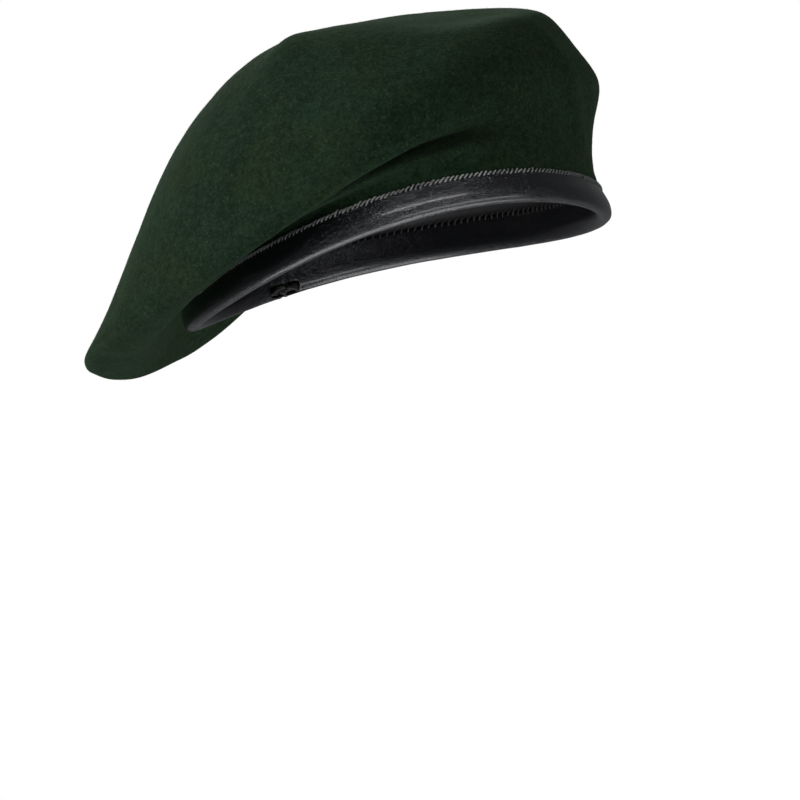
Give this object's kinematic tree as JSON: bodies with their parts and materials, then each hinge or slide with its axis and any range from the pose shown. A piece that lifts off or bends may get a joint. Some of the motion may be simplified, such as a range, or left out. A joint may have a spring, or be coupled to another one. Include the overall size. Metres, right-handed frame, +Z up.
{
  "type": "beret",
  "caption": "Soft felted wool beret with a leather-bound edge, a captive drawcord and a lining, pulled down to the wearer's right.",
  "frame": {"origin": "centre of the head opening, level with the lower edge of the leather binding", "axes": "+Z up along the axis of the head opening, -Y towards the wearer's front, +X towards the wearer's left"},
  "size_m": [0.2095, 0.2335, 0.1056],
  "materials": {
    "felt": "dark green felted wool with a short nap",
    "leather": "black, fine grained, semi-gloss",
    "cord": "black braided cord",
    "lining": "black satin weave",
    "board": "matt stiffened buckram",
    "enamel": "black enamel",
    "label": "plain woven tape, blank",
    "grey_thread": "grey overcast stitching",
    "black_thread": "black lockstitch"
  },
  "bodies": {
    "root": {"crown": "felt", "edge_binding": "leather", "drawcord": "cord", "lining_side": "lining", "lining_tip": "lining", "flash_stiffener": "board", "vent_eyelet_front": "enamel", "vent_washer_front": "enamel", "vent_eyelet_rear": "enamel", "vent_washer_rear": "enamel", "size_label": "label", "edge_stitching": "grey_thread", "inner_stitching": "black_thread"}
  },
  "joints": []
}
